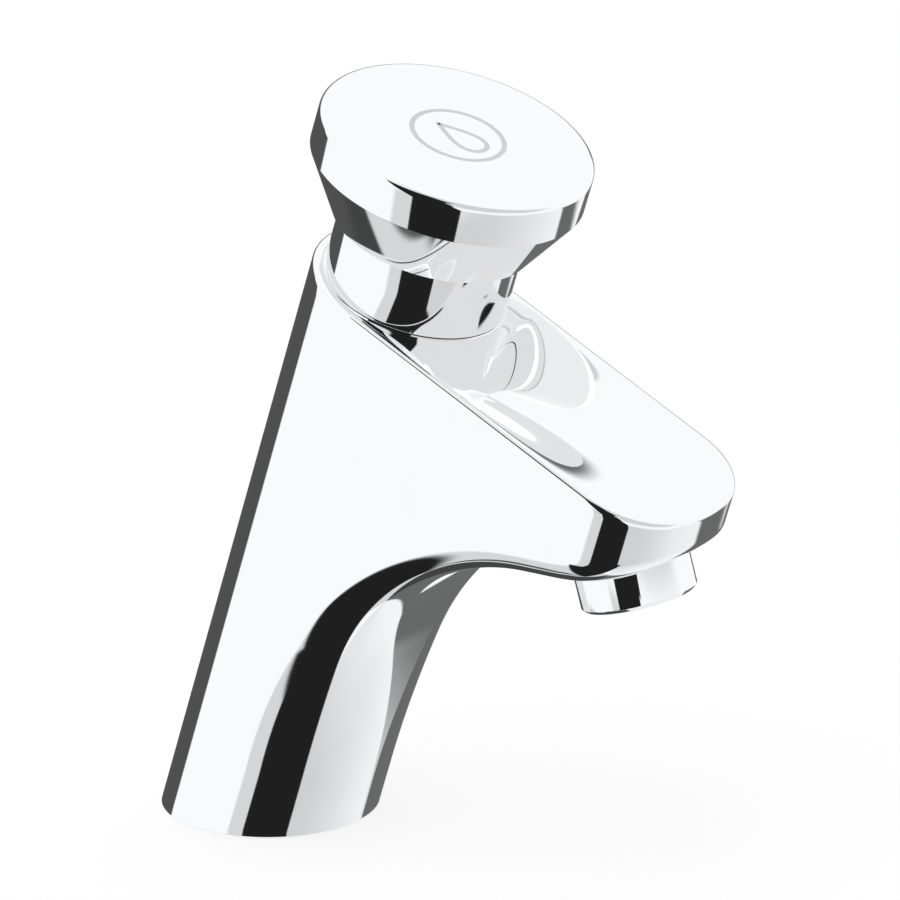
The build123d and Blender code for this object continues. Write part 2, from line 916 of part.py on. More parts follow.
def aerator_washer():
    """The flat washer above the ring's neck."""
    outer = outlet_thread_diameter / 2 - running_gap
    return ring(outer - outlet_washer_width, outer, outlet_neck_top, outlet_socket_top)


# All pieces, each written under its own name

standing = {
    "body_casting": body_casting,
    "base_seal": base_seal,
    "inlet_filter": inlet_filter,
    "flow_regulator": flow_regulator,
}
on_column_axis = {
    "neck_sleeve": neck_sleeve,
    "metering_pin": metering_pin,
    "stem_seal": stem_seal,
    "guide_bush": guide_bush,
    "cartridge_body": cartridge_body,
    "push_stem": push_stem,
    "piston": piston,
    "piston_seal": piston_seal,
    "piston_clip": piston_clip,
    "valve_washer": valve_washer,
    "washer_cup": washer_cup,
    "valve_nut": valve_nut,
    "push_button": push_button,
    "button_hub": button_hub,
    "hub_screw": hub_screw,
    "return_spring": return_spring,
}
round_seals = {
    "cartridge_lower_seal": (chamber_radius, lower_seal_height),
    "cartridge_upper_seal": (chamber_radius, upper_seal_height),
    "neck_seal": (neck_bore_radius, neck_seal_height),
}
on_outlet_axis = {
    "aerator_housing": aerator_housing,
    "aerator_insert": aerator_insert,
    "aerator_screen": aerator_screen,
    "aerator_washer": aerator_washer,
}

os.makedirs("parts", exist_ok=True)
for name, make in standing.items():
    export_step(make(), f"parts/{name}.step")
for name, make in on_column_axis.items():
    export_step(lean_plane.location * make(), f"parts/{name}.step")
for name, (bore, height) in round_seals.items():
    export_step(lean_plane.location * round_seal(bore, height), f"parts/{name}.step")
for name, make in on_outlet_axis.items():
    export_step(outlet_plane.location * make(), f"parts/{name}.step")
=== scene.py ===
from math import cos, pi, radians, sin

import bmesh
import bpy
import numpy as np
from mathutils import Matrix, Vector


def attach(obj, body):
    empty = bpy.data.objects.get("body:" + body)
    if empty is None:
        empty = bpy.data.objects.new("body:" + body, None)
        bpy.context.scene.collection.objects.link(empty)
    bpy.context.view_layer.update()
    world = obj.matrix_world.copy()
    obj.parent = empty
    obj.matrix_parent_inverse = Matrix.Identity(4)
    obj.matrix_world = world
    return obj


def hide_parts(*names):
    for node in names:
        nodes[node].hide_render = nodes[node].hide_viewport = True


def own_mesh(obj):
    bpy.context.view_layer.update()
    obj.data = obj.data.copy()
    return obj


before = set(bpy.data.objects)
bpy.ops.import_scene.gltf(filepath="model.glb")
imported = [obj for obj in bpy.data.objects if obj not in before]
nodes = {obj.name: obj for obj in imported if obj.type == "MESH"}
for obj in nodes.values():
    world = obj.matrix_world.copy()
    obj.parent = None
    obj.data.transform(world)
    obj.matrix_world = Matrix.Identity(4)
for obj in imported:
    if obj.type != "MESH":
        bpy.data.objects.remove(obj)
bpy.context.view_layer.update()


# The camera stands in front of the tap's left cheek, a little above it and far back, as in the
# photograph. Its long lens keeps the column's sides parallel.
view_turn, view_rise, view_roll = radians(-53.968), radians(19.091), radians(-1.893)
view_distance = 2.08406
view_target = Vector((0.0, -0.053978, 0.093085))
away = Vector((sin(view_turn) * cos(view_rise), -cos(view_turn) * cos(view_rise), sin(view_rise)))
level = Vector((cos(view_turn), sin(view_turn), 0.0))
upright = away.cross(level)
camera_right = cos(view_roll) * level + sin(view_roll) * upright
camera_up = -sin(view_roll) * level + cos(view_roll) * upright
camera_data = bpy.data.cameras.new("photo_camera")
camera_data.sensor_width = 36.0
camera_data.lens = 377.74
camera = bpy.data.objects.new("photo_camera", camera_data)
camera.matrix_world = Matrix.Translation(view_target + away * view_distance) @ Matrix(
    (camera_right, camera_up, away)
).transposed().to_4x4()
bpy.context.scene.collection.objects.link(camera)
bpy.context.scene.camera = camera
bpy.context.scene.view_settings.view_transform = "Standard"


# The studio is a white world, a white floor that keeps the tap's shadow, and one soft lamp high on
# the left. They light the matt pieces at a plain level.
world = bpy.data.worlds.new("white_room")
bpy.context.scene.world = world
world.use_nodes = True
room = world.node_tree
room.nodes.clear()
room_out = room.nodes.new("ShaderNodeOutputWorld")
room_light = room.nodes.new("ShaderNodeBackground")
room_seen = room.nodes.new("ShaderNodeBackground")
room_light.inputs["Strength"].default_value = 0.86
room_seen.inputs["Strength"].default_value = 1.0
for shade in (room_light, room_seen):
    shade.inputs["Color"].default_value = (1.0, 1.0, 1.0, 1.0)
path = room.nodes.new("ShaderNodeLightPath")
seen, seen_any = room.nodes.new("ShaderNodeMath"), room.nodes.new("ShaderNodeMath")
seen.operation = seen_any.operation = "MAXIMUM"
room_mix = room.nodes.new("ShaderNodeMixShader")
room.links.new(path.outputs["Is Camera Ray"], seen.inputs[0])
room.links.new(path.outputs["Is Glossy Ray"], seen.inputs[1])
room.links.new(seen.outputs[0], seen_any.inputs[0])
room.links.new(path.outputs["Is Transmission Ray"], seen_any.inputs[1])
room.links.new(seen_any.outputs[0], room_mix.inputs[0])
room.links.new(room_light.outputs[0], room_mix.inputs[1])
room.links.new(room_seen.outputs[0], room_mix.inputs[2])
room.links.new(room_mix.outputs[0], room_out.inputs[0])

lamp_data = bpy.data.lights.new("soft_lamp", "SUN")
lamp_data.energy = 0.42
lamp_data.angle = radians(50)
lamp = bpy.data.objects.new("soft_lamp", lamp_data)
lamp.matrix_world = Vector((-0.45, 0.1, 1.0)).to_track_quat("Z", "Y").to_matrix().to_4x4()
lamp.visible_glossy = False
bpy.context.scene.collection.objects.link(lamp)


def sheet_mesh(name, points, closed=False):
    """A mesh over a grid of points, rows by columns: each cell is one four-sided face. A closed
    sheet joins its last column to its first."""
    rows, columns = points.shape[:2]
    j, i = np.meshgrid(np.arange(columns if closed else columns - 1), np.arange(rows - 1))
    next_j = (j + 1) % columns
    faces = np.stack(
        [i * columns + j, i * columns + next_j, (i + 1) * columns + next_j, (i + 1) * columns + j], -1
    )
    mesh = bpy.data.meshes.new(name)
    mesh.from_pydata(points.reshape(-1, 3).tolist(), [], faces.reshape(-1, 4).tolist())
    mesh.polygons.foreach_set("use_smooth", np.ones(len(mesh.polygons), bool))
    mesh.update()
    made = bpy.data.objects.new(name, mesh)
    bpy.context.scene.collection.objects.link(made)
    return made


floor_half, floor_drop = 6.0, 0.0002
span = np.linspace(-floor_half, floor_half, 3)
floor_y, floor_x = np.meshgrid(span, span, indexing="ij")
floor = sheet_mesh("studio_floor", np.stack([floor_x, floor_y, 0.0 * floor_x - floor_drop], -1))
floor.visible_glossy = False
floor_finish = bpy.data.materials.new("white_floor")
floor_finish.use_nodes = True
floor_shader = floor_finish.node_tree.nodes["Principled BSDF"]
floor_shader.inputs["Base Color"].default_value = (0.3, 0.3, 0.3, 1.0)
floor_shader.inputs["Emission Color"].default_value = (1.0, 1.0, 1.0, 1.0)
floor_shader.inputs["Emission Strength"].default_value = 0.72
floor_shader.inputs["Roughness"].default_value = 1.0
floor_shader.inputs["Specular IOR Level"].default_value = 0.0
floor.data.materials.append(floor_finish)


# The light tent is what the chrome mirrors: white cloth all round, with one black card to the
# front and dark grey openings behind on both sides. Only mirrored rays meet it. It stands still in
# the room, and from a second mirroring on it is plain cloth with a smaller card.
tent_radius = 3.0
tent_white, tent_plain, tent_black = 1.1, 0.97, 0.016
turn = np.radians(np.linspace(-180.0, 180.0, 721)[:-1])
rise = np.radians(np.linspace(-90.0, 90.0, 361))
rise_grid, turn_grid = np.meshgrid(rise, turn, indexing="ij")


def edge(value, middle, softness):
    """A smooth step from 0 to 1 about a middle value, over a width of softness."""
    share = np.clip((value - middle) / softness + 0.5, 0.0, 1.0)
    return share * share * (3.0 - 2.0 * share)


def tent_shade(turned, risen):
    """The cloth's brightness by direction: the turn from the camera towards the picture's right,
    and the rise above the level, in degrees. Cards multiply the white by their own grey. Below the
    tap they are laid out on a level plane: how far to the right, and how far towards the camera."""
    shade = np.full(turned.shape, tent_white)
    lowest_fall = 0.02
    fall = np.maximum(-np.sin(np.radians(risen)), lowest_fall)
    right = np.cos(np.radians(risen)) * np.sin(np.radians(turned)) / fall
    near = np.cos(np.radians(risen)) * np.cos(np.radians(turned)) / fall
    # Light grey cloth: low on the left, low on the right, and high on the right.
    left_side = edge(turned, -50.0 - 3.5 * np.clip(-risen - 25.0, 0.0, 3.0), 4.0)
    low_left = np.maximum(left_side, edge(-risen, 34.0, 8.0)) * edge(-turned, 20.0, 10.0)
    shade *= 1.0 - 0.3 * low_left * edge(-risen, 10.0, 10.0)
    low_right = edge(turned, 4.0, 4.0) * (1.0 - edge(turned, 80.0, 130.0)) * edge(-risen, 34.0, 12.0)
    shade *= 1.0 - 0.3 * low_right * (1.0 - 0.6 * edge(-risen, 58.0, 20.0))
    shade *= 1.0 - 0.06 * edge(turned, 0.0, 20.0) * edge(-risen, 20.0, 20.0)
    high_right = edge(turned, 10.0, 30.0) * edge(-turned, -84.0, 20.0) * edge(risen, 6.0, 24.0)
    shade *= 1.0 - 0.34 * high_right
    # The dark openings behind: on the left, on the right, and under the arch up to a slanting line.
    behind_left = edge(-turned, 126.0, 2.0)
    arch_line = (-0.3 - 2.4 * right) * edge(-near, 0.12, 0.06) - 3.0 * edge(near, -0.12, 0.06)
    arch_line = np.maximum(0.32 * right - 1.09, arch_line)
    under_arch = edge(arch_line - near, 0.0, 0.1) * edge(-risen, 27.0, 4.0) * edge(turned, -116.0, 3.0)
    behind_right = np.maximum(edge(turned, 152.0, 4.0), under_arch) * (1.0 - behind_left)
    below_light = edge(-risen, -20.0, 10.0)
    shade *= 1.0 - 0.92 * behind_left * below_light
    shade *= 1.0 - 0.85 * behind_right * below_light
    # The black card below the level: its left side, the slant at its foot and its right side.
    column_card = edge(right, -np.maximum(1.05, 0.727 * near), 0.03) * edge(near, 0.9, 0.06)
    slant_card = edge(right, -1.85, 0.08) * edge(0.99 + 0.2 * (right + 1.05) - near, 0.0, 0.04)
    right_line = np.minimum(0.365 * near - 0.187, 0.075 * near + np.clip(1.08 - near, 0.0, 1.0))
    low_card = np.maximum(column_card, slant_card) * edge(right_line - right, 0.0, 0.025)
    low_card *= edge(near + 0.34 + 0.64 * right, 0.0, 0.12) * edge(near, -0.17, 0.06)
    # The same card above the level, whose right side leans out as it rises.
    top_edge = 7.0 + 3.0 * edge(risen, 10.0, 30.0) + 15.0 * edge(risen, 38.0, 14.0)
    high_card = edge(turned, -36.0, 0.7) * edge(top_edge - turned, 0.0, 0.8) * edge(-risen, -66.0, 1.5)
    below = edge(-risen, 2.0, 3.0)
    black = low_card * below + high_card * (1.0 - below)
    return shade * (1.0 - black) + tent_black * black


def plain_shade(turned, risen):
    """The cloth from a second mirroring on: plain, but for a black card in front whose right side
    steps in above 23 degrees."""
    right_side = 58.5 - 5.5 * edge(risen, 23.0, 2.0)
    card = edge(turned, -36.0, 1.0) * edge(right_side - turned, 0.0, 1.5)
    card *= edge(risen, 6.0, 2.0) * edge(36.0 - risen, 0.0, 3.0)
    return tent_plain * (1.0 - card) + tent_black * card


tent_shape = np.stack([
    np.cos(rise_grid) * np.sin(turn_grid), np.cos(rise_grid) * np.cos(turn_grid), np.sin(rise_grid)
], -1)
towards = Vector((away.x, away.y, 0.0)).normalized()
tent_points = tent_radius * (
    tent_shape[..., :1] * np.array(level) + tent_shape[..., 1:2] * np.array(towards)
    + tent_shape[..., 2:] * np.array((0.0, 0.0, 1.0))
)
tent = sheet_mesh("light_tent", tent_points, closed=True)
for cloth_name, painted in (("cloth", tent_shade), ("plain_cloth", plain_shade)):
    cloth_shade = painted(np.degrees(turn_grid), np.degrees(rise_grid)).astype(np.float32)
    tent_values = tent.data.attributes.new(cloth_name, "FLOAT", "POINT")
    tent_values.data.foreach_set("value", cloth_shade.ravel())
tent.visible_camera = tent.visible_diffuse = tent.visible_shadow = False
tent.visible_transmission = tent.visible_volume_scatter = False
tent_finish = bpy.data.materials.new("tent_cloth")
tent_finish.use_nodes = True
cloth = tent_finish.node_tree
cloth.nodes.clear()
cloth_first, cloth_again = (cloth.nodes.new("ShaderNodeAttribute") for order in range(2))
cloth_first.attribute_name = "cloth"
cloth_again.attribute_name = "plain_cloth"
cloth_path = cloth.nodes.new("ShaderNodeLightPath")
mirrored_twice = cloth.nodes.new("ShaderNodeMath")
mirrored_twice.operation = "GREATER_THAN"
mirrored_twice.inputs[1].default_value = 1.5
cloth_level = cloth.nodes.new("ShaderNodeMix")
cloth_light = cloth.nodes.new("ShaderNodeEmission")
cloth_out = cloth.nodes.new("ShaderNodeOutputMaterial")
cloth.links.new(cloth_path.outputs["Glossy Depth"], mirrored_twice.inputs[0])
cloth.links.new(mirrored_twice.outputs[0], cloth_level.inputs["Factor"])
cloth.links.new(cloth_first.outputs["Fac"], cloth_level.inputs["A"])
cloth.links.new(cloth_again.outputs["Fac"], cloth_level.inputs["B"])
cloth.links.new(cloth_level.outputs["Result"], cloth_light.inputs["Strength"])
cloth.links.new(cloth_light.outputs[0], cloth_out.inputs["Surface"])
tent.data.materials.append(tent_finish)


# Bright chrome plate over polished brass covers the casting, sleeve, button and ring. Its only marks
# are a faint haze from wiping. The pattern of marks is shared with the pieces inside.
def marks_group():
    """A shared effect: noise over the piece's own coordinates, turned and stretched, gives one
    pattern of fine marks, and a coarser one that drifts slowly. They blend two colours and two
    levels of roughness, and give a height for relief."""
    group = bpy.data.node_groups.new("fine_marks", "ShaderNodeTree")
    taken = {"Turn": "Vector", "Stretch": "Vector", "Light": "Color", "Dark": "Color",
             "Smooth": "Float", "Rough": "Float"}
    put_out = {"Color": "Color", "Roughness": "Float", "Height": "Float"}
    for sockets, way in ((taken, "INPUT"), (put_out, "OUTPUT")):
        for socket, kind in sockets.items():
            group.interface.new_socket(socket, in_out=way, socket_type="NodeSocket" + kind)
    add, link = group.nodes.new, group.links.new
    given, result = add("NodeGroupInput"), add("NodeGroupOutput")
    place, mapping = add("ShaderNodeTexCoord"), add("ShaderNodeMapping")
    fine, drift = add("ShaderNodeTexNoise"), add("ShaderNodeTexNoise")
    fine.inputs["Scale"].default_value = 1.0
    fine.inputs["Detail"].default_value = 4.0
    drift.inputs["Scale"].default_value = 45.0
    drift.inputs["Detail"].default_value = 3.0
    both, share = add("ShaderNodeMath"), add("ShaderNodeMath")
    both.operation, share.operation = "MULTIPLY_ADD", "MULTIPLY"
    both.inputs[1].default_value, share.inputs[1].default_value = 0.6, 0.4
    blend, gloss = add("ShaderNodeMix"), add("ShaderNodeMapRange")
    blend.data_type = "RGBA"
    link(place.outputs["Object"], mapping.inputs["Vector"])
    link(given.outputs["Turn"], mapping.inputs["Rotation"])
    link(given.outputs["Stretch"], mapping.inputs["Scale"])
    link(mapping.outputs["Vector"], fine.inputs["Vector"])
    link(place.outputs["Object"], drift.inputs["Vector"])
    link(drift.outputs["Fac"], share.inputs[0])
    link(fine.outputs["Fac"], both.inputs[0])
    link(share.outputs[0], both.inputs[2])
    link(both.outputs[0], blend.inputs["Factor"])
    link(given.outputs["Light"], blend.inputs["A"])
    link(given.outputs["Dark"], blend.inputs["B"])
    link(both.outputs[0], gloss.inputs["Value"])
    link(given.outputs["Smooth"], gloss.inputs["To Min"])
    link(given.outputs["Rough"], gloss.inputs["To Max"])
    link(blend.outputs["Result"], result.inputs["Color"])
    link(gloss.outputs["Result"], result.inputs["Roughness"])
    link(fine.outputs["Fac"], result.inputs["Height"])
    return group


grain = marks_group()


def marked_finish(name, stretch, light, dark, smooth, rough):
    """A material whose colour and roughness follow one pattern of marks. It gives the material, its
    shader and the pattern's node."""
    finish = bpy.data.materials.new(name)
    finish.use_nodes = True
    shader = finish.node_tree.nodes["Principled BSDF"]
    marks = finish.node_tree.nodes.new("ShaderNodeGroup")
    marks.node_tree = grain
    for socket, value in (("Stretch", stretch), ("Light", light + (1.0,)), ("Dark", dark + (1.0,)),
                          ("Smooth", smooth), ("Rough", rough)):
        marks.inputs[socket].default_value = value
    finish.node_tree.links.new(marks.outputs["Color"], shader.inputs["Base Color"])
    finish.node_tree.links.new(marks.outputs["Roughness"], shader.inputs["Roughness"])
    return finish, shader, marks


def chrome_finish(name, painted_glow_after):
    """Polished chrome with a faint haze. Once a ray has been mirrored more than the given number of
    times, it finds the chrome black with a plain white painted glow like the cloth instead of a mirror
    image: a painted reflection, so no dark mirror images gather in the corners between the pieces."""
    finish, shader, haze = marked_finish(
        name, (160.0, 160.0, 60.0), (0.865, 0.875, 0.885), (0.845, 0.855, 0.865), 0.02, 0.05
    )
    shader.inputs["Metallic"].default_value = 1.0
    shader.inputs["Emission Color"].default_value = (1.0, 1.0, 1.0, 1.0)
    add, link = finish.node_tree.nodes.new, finish.node_tree.links.new
    ray, painted_glow_switch = add("ShaderNodeLightPath"), add("ShaderNodeMath")
    painted_glow_switch.operation = "GREATER_THAN"
    painted_glow_switch.inputs[1].default_value = painted_glow_after
    painted_glow_strength, colour_under_painted_glow = add("ShaderNodeMath"), add("ShaderNodeMix")
    painted_glow_strength.operation = "MULTIPLY"
    painted_glow_strength.inputs[1].default_value = tent_plain
    colour_under_painted_glow.data_type = "RGBA"
    colour_under_painted_glow.inputs[7].default_value = (0.0, 0.0, 0.0, 1.0)
    # Painted reflection: past the given number of mirrorings the base colour turns black and the chrome
    # glows plain white instead of mirroring.
    link(ray.outputs["Glossy Depth"], painted_glow_switch.inputs[0])
    link(painted_glow_switch.outputs[0], colour_under_painted_glow.inputs["Factor"])
    link(painted_glow_switch.outputs[0], painted_glow_strength.inputs[0])
    link(haze.outputs["Color"], colour_under_painted_glow.inputs[6])
    link(colour_under_painted_glow.outputs[2], shader.inputs["Base Color"])
    link(painted_glow_strength.outputs[0], shader.inputs["Emission Strength"])
    return finish


chrome = chrome_finish("chrome_plate", 1.5)


# The casting is one hollow brass body: a leaning column that bends into a flat-sided spout with a
# scooped top, and a round neck for the button. It is cast, ground smooth, polished and chromed,
# and stands on the basin with a bolt and a hose below it.
lean = radians(19.5)
half_width = 23.5
front_face = 24.1
underside = 76.5
arch_radius = 49.0
arch_middle = (-73.1, (underside - arch_radius + 73.1 * sin(lean)) / cos(lean))
arch_end = pi / 2 - lean
foot_height = 20.0
belly_start, belly_radius = -95.0, 62.0
belly_middle = (
    belly_start * cos(lean) + (underside + belly_radius) * sin(lean),
    (underside + belly_radius) * cos(lean) - belly_start * sin(lean),
)
corner_foot, corner_waist, corner_spout = 23.1, 17.0, 6.0
rim_height, rim_rise = 137.0, np.tan(radians(7.2))
rim_round = 1.3
neck_radius, neck_top = 20.8, 137.0
scoop_edge, scoop_foot, scoop_end = -2.8, -19.4, -74.4
depth_beside, depth_foot, depth_end = 2.5, 12.6, 0.12
sleeve_gap, scoop_widening, scoop_power = 0.25, 1.1, 1.4


def in_place(across, to_back, along):
    """Points given across the tap, square to its leaning axis and along that axis, in millimetres,
    turned about the level cross axis by the lean and written in metres."""
    across, to_back, along = np.broadcast_arrays(across, to_back, along)
    y = to_back * cos(lean) - along * sin(lean)
    z = to_back * sin(lean) + along * cos(lean)
    return np.stack([across, y, z], -1) * 0.001


def rim_at(to_back):
    """The plane of the rims: its height along the axis rises evenly to the back."""
    return rim_height + to_back * rim_rise


def scoop_drop(across, to_back):
    """How far the hollow top lies below the rims: from rim to rim a parabola, raised to a power that
    flattens its sides. Its depth grows in a straight line from the neck's sides to its foot and
    fades in another to nothing at the tip; the two lines meet in a soft bend."""
    to_foot = (scoop_edge - to_back) / (scoop_edge - scoop_foot)
    beside = np.clip(to_foot, 0.0, 1.0)
    growing = depth_beside + (depth_foot - depth_beside) * to_foot
    fading = depth_end + (depth_foot - depth_end) * (to_back - scoop_end) / (scoop_foot - scoop_end)
    gap = growing - fading
    bend, end_bend = 1.0, 0.002
    depth = (growing + fading - np.sqrt(gap * gap + bend)) / 2.0
    depth = (depth + np.sqrt(depth * depth + end_bend)) / 2.0
    start = np.clip((scoop_edge + 1.0 - to_back) / 2.0, 0.0, 1.0)
    depth = np.maximum(depth * start * start * (3.0 - 2.0 * start), 1e-4)
    half = neck_radius + sleeve_gap + scoop_widening * beside
    inside = np.minimum(np.abs(across) / half, 1.0)
    return depth * (1.0 - inside**2) ** scoop_power


def top_at(across, to_back):
    """The height of the scooped top: the rim plane less the drop, measured square to that plane."""
    tilt = np.arctan(rim_rise)
    drop = scoop_drop(across, to_back)
    for turn_again in range(3):
        drop = scoop_drop(across, to_back - drop * np.sin(tilt))
    return rim_at(to_back) - drop / np.cos(tilt)


def keel(rows):
    """The middle line of the front and underside, as (to_back, along), the way inward from it and
    the corner radius beside it: straight up the column, then round the arch on a circular arc."""
    turned = np.clip(rows, 0.0, None)
    on_column = rows < 0.0
    w = np.where(on_column, -front_face, arch_middle[0] + arch_radius * np.cos(turned))
    s = np.where(on_column, arch_middle[1] + rows, arch_middle[1] + arch_radius * np.sin(turned))
    inward_w = np.where(on_column, 1.0, np.cos(turned))
    inward_s = np.where(on_column, 0.0, np.sin(turned))
    climb = np.clip((s - foot_height) / (arch_middle[1] - foot_height), 0.0, 1.0)
    column_corner = corner_foot - (corner_foot - corner_waist) * climb**2
    arch_corner = corner_spout + (corner_waist - corner_spout) * (1.0 - turned / arch_end) ** 2
    return w, s, inward_w, inward_s, np.where(on_column, column_corner, arch_corner)


wall_top = rim_height - rim_round
shoulder_turn = np.arctan((wall_top - arch_middle[1]) / -arch_middle[0])
foot_rows, column_rows, back_rows, spout_rows = 10, 26, 64, 44
rows = np.concatenate([
    np.linspace(-arch_middle[1], foot_height - arch_middle[1], foot_rows + 1)[:-1],
    np.linspace(foot_height - arch_middle[1], 0.0, column_rows + 1)[:-1],
    np.linspace(0.0, shoulder_turn, back_rows + 1)[:-1],
    np.linspace(shoulder_turn, arch_end, spout_rows + 1),
])
keel_w, keel_s, inward_w, inward_s, corner = (value[:, None] for value in keel(rows))
on_foot = np.clip(1.0 - (rows[:, None] + arch_middle[1]) / foot_height, 0.0, 1.0)


def standing(to_back, along):
    """The foot's rows slide down towards the deck, so that the first lies level in it."""
    return along - on_foot * to_back * np.tan(lean)


# The front and underside: two rounded corners with a flat between them, swept along the keel.
corner_cells, flat_cells = 24, 48
swing = np.linspace(pi, 1.5 * pi, corner_cells + 1)
left_x = -(half_width - corner) + corner * np.cos(swing)
left_h = corner + corner * np.sin(swing)
flat_x = (half_width - corner) * np.linspace(-1.0, 1.0, flat_cells + 1)[1:-1]
front_x = np.concatenate([left_x, flat_x, -left_x[:, ::-1]], 1)
front_h = np.concatenate([left_h, 0.0 * flat_x, left_h[:, ::-1]], 1)
front_w = keel_w + inward_w * front_h
front_s = standing(front_w, keel_s + inward_s * front_h)
casting_parts = [in_place(front_x, front_w, front_s)]

# The flat cheeks: straight lines from each corner's start to the middle of the column's side, and
# from the shoulder on to the rim.
turned = np.clip(rows, 1e-9, None)
reach = (wall_top - arch_middle[1] + rim_rise * arch_middle[0]) / (
    np.sin(turned) - rim_rise * np.cos(turned)
)
past_shoulder = rows > shoulder_turn - 1e-9
top_w = np.where(past_shoulder, arch_middle[0] + reach * np.cos(turned), 0.0)
top_s = np.where(past_shoulder, arch_middle[1] + reach * np.sin(turned), 0.0)
side_s = np.where(
    rows < 0.0, rows + arch_middle[1],
    arch_middle[1] - arch_middle[0] * np.tan(np.minimum(turned, shoulder_turn)),
)
top_s = np.where(past_shoulder, top_s, side_s)[:, None]
top_w = top_w[:, None]
cheek_cells = 14
share = np.linspace(0.0, 1.0, cheek_cells + 1)
low_w, low_s = front_w[:, :1], front_s[:, :1]
cheek_w = low_w + (top_w - low_w) * share
cheek_s = low_s + (top_s - low_s) * share
for side in (-half_width, half_width):
    casting_parts.append(in_place(side, cheek_w, cheek_s))

# The column's back: a half cylinder from the deck to the rim.
back_cells = 96
around = np.linspace(0.0, pi, back_cells + 1)
back_x, back_w = half_width * np.cos(around), half_width * np.sin(around)
shoulder_row = foot_rows + column_rows + back_rows
climb = top_s[: shoulder_row + 1] / wall_top
deck_s = -back_w * np.tan(lean)
back_s = deck_s + climb * (rim_at(back_w) - rim_round - deck_s)
casting_parts.append(in_place(back_x, back_w, back_s))

# The tip seen along the axis: the cheeks run into round corners and a slightly bowed front.
tip_reach, tip_bow, tip_corner = 85.3, 6.46, 17.0
bow_radius = (half_width**2 + tip_bow**2) / (2.0 * tip_bow)
bow_middle = bow_radius - tip_reach
corner_x = half_width - tip_corner
corner_w = bow_middle - np.sqrt((bow_radius - tip_corner) ** 2 - corner_x**2)
corner_turn = pi / 2 - np.arctan2(corner_x, bow_middle - corner_w)
cheek_end, tip_cells, bow_cells = 24, 36, 32
joint_w = low_w[-1, 0]
along_cheek = np.linspace(0.0, 1.0, cheek_end + 1)[:-1]
bend = np.linspace(0.0, corner_turn, tip_cells + 1)[:-1]
bow_turn = np.linspace(-1.0, 1.0, bow_cells + 1) * (pi / 2 - corner_turn)
tip_normal_x = np.concatenate([-np.ones(cheek_end), -np.cos(bend), np.sin(bow_turn)])
tip_normal_w = np.concatenate([np.zeros(cheek_end), -np.sin(bend), -np.cos(bow_turn)])
tip_x = np.concatenate([
    -half_width * np.ones(cheek_end), -corner_x - tip_corner * np.cos(bend),
    bow_radius * np.sin(bow_turn),
])
tip_low_w = np.concatenate([
    joint_w + (corner_w - joint_w) * along_cheek, corner_w - tip_corner * np.sin(bend),
    bow_middle - bow_radius * np.cos(bow_turn),
])
rim_joint_w = top_w[-1, 0]
tip_top_w = np.concatenate([
    rim_joint_w + (corner_w - rim_joint_w) * along_cheek, tip_low_w[cheek_end:]
])


def mirrored(values, sign):
    """The far half of the tip repeats the near half in reverse; sign turns what lies across."""
    half = cheek_end + tip_cells
    return np.concatenate([values, sign * values[:half][::-1]])


tip_x, tip_normal_x = mirrored(tip_x, -1.0), mirrored(tip_normal_x, -1.0)
tip_normal_w, tip_low_w, tip_top_w = (mirrored(v, 1.0) for v in (tip_normal_w, tip_low_w, tip_top_w))

# A ball of the lower edge's radius rolls along inside the wall and the underside. Its middle lies on
# the underside's parallel curve, and its arc from the wall's normal to the underside's is the edge.
ball = corner_spout
ball_x = tip_x - ball * tip_normal_x
ball_w = tip_low_w - ball * tip_normal_w
flat_end = belly_start * cos(lean) + (underside + ball) * sin(lean)
inner_radius = belly_radius - ball
belly_reach = np.minimum(ball_w - belly_middle[0], flat_end - belly_middle[0])
ball_s = np.where(
    ball_w > flat_end,
    (underside + ball - ball_w * sin(lean)) / cos(lean),
    belly_middle[1] - np.sqrt(inner_radius**2 - belly_reach**2),
)
down_w = np.where(ball_w > flat_end, -sin(lean), (ball_w - belly_middle[0]) / inner_radius)
down_s = np.where(ball_w > flat_end, -cos(lean), (ball_s - belly_middle[1]) / inner_radius)
between = np.arccos(np.clip(tip_normal_w * down_w, -1.0, 1.0))
part = np.linspace(0.0, 1.0, corner_cells + 1)[:, None]
from_wall = np.sin((1.0 - part) * between) / np.sin(between)
from_below = np.sin(part * between) / np.sin(between)
edge_x = ball_x + ball * from_wall * tip_normal_x
edge_w = ball_w + ball * (from_wall * tip_normal_w + from_below * down_w)
edge_s = ball_s + ball * from_below * down_s
down_wall = np.linspace(1.0, 0.0, cheek_cells + 1)[:, None]
wall_w = tip_low_w + (tip_top_w - tip_low_w) * down_wall
wall_s = ball_s + (rim_at(tip_top_w) - rim_round - ball_s) * down_wall
casting_parts.append(in_place(tip_x, wall_w, wall_s))
casting_parts.append(in_place(edge_x, edge_w, edge_s))

# The belly under the tip, drawn in from its edge to the round outlet.
outlet_w, outlet_hole, well_shift, well_top = -70.1, 10.4, 2.0, 112.0
root_x = front_x[-1, corner_cells:-corner_cells][::-1][1:]
outer_x = np.concatenate([edge_x[-1], root_x])
outer_w = np.concatenate([edge_w[-1], 0.0 * root_x + edge_w[-1, 0]])


def belly_at(to_back):
    """The underside's height: level below the spout's root, then rising to the tip on an arc."""
    level_end = belly_start * cos(lean) + underside * sin(lean)
    reach = np.minimum(to_back, level_end) - belly_middle[0]
    rising = belly_middle[1] - np.sqrt(belly_radius**2 - reach**2)
    return np.where(to_back > level_end, (underside - to_back * sin(lean)) / cos(lean), rising)


def drawn_in(outer_x, outer_w, middle_w, radius, cells):
    """Straight lines in plan from an outline to a circle, each towards the circle's middle."""
    far = np.hypot(outer_x, outer_w - middle_w)
    hole_x = outer_x / far * radius
    hole_w = middle_w + (outer_w - middle_w) / far * radius
    share = np.linspace(0.0, 1.0, cells + 1)[:, None]
    return outer_x + (hole_x - outer_x) * share, outer_w + (hole_w - outer_w) * share


